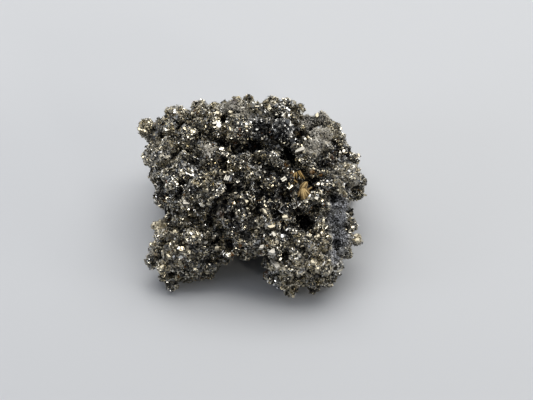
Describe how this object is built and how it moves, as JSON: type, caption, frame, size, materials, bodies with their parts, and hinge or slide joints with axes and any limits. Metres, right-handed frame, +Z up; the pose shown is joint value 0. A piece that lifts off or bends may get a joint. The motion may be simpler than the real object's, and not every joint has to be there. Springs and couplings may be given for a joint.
{
  "type": "pyrite specimen",
  "caption": "Palm-sized mineral specimen: nodules of pyrite grown together and coated with small glittering crystals, with a flat broken base and a low arch at the front.",
  "frame": {"origin": "centre of the bounding box, on the table under the specimen", "axes": "+X to the right along the longest side, +Y away from the viewer, +Z up out of the table; the arch opens towards -Y"},
  "size_m": [0.0646, 0.0552, 0.0315],
  "materials": {
    "pyrite": "metallic",
    "tan_blades": "satin"
  },
  "bodies": {
    "root": {"pyrite_cluster": "pyrite"}
  },
  "joints": []
}
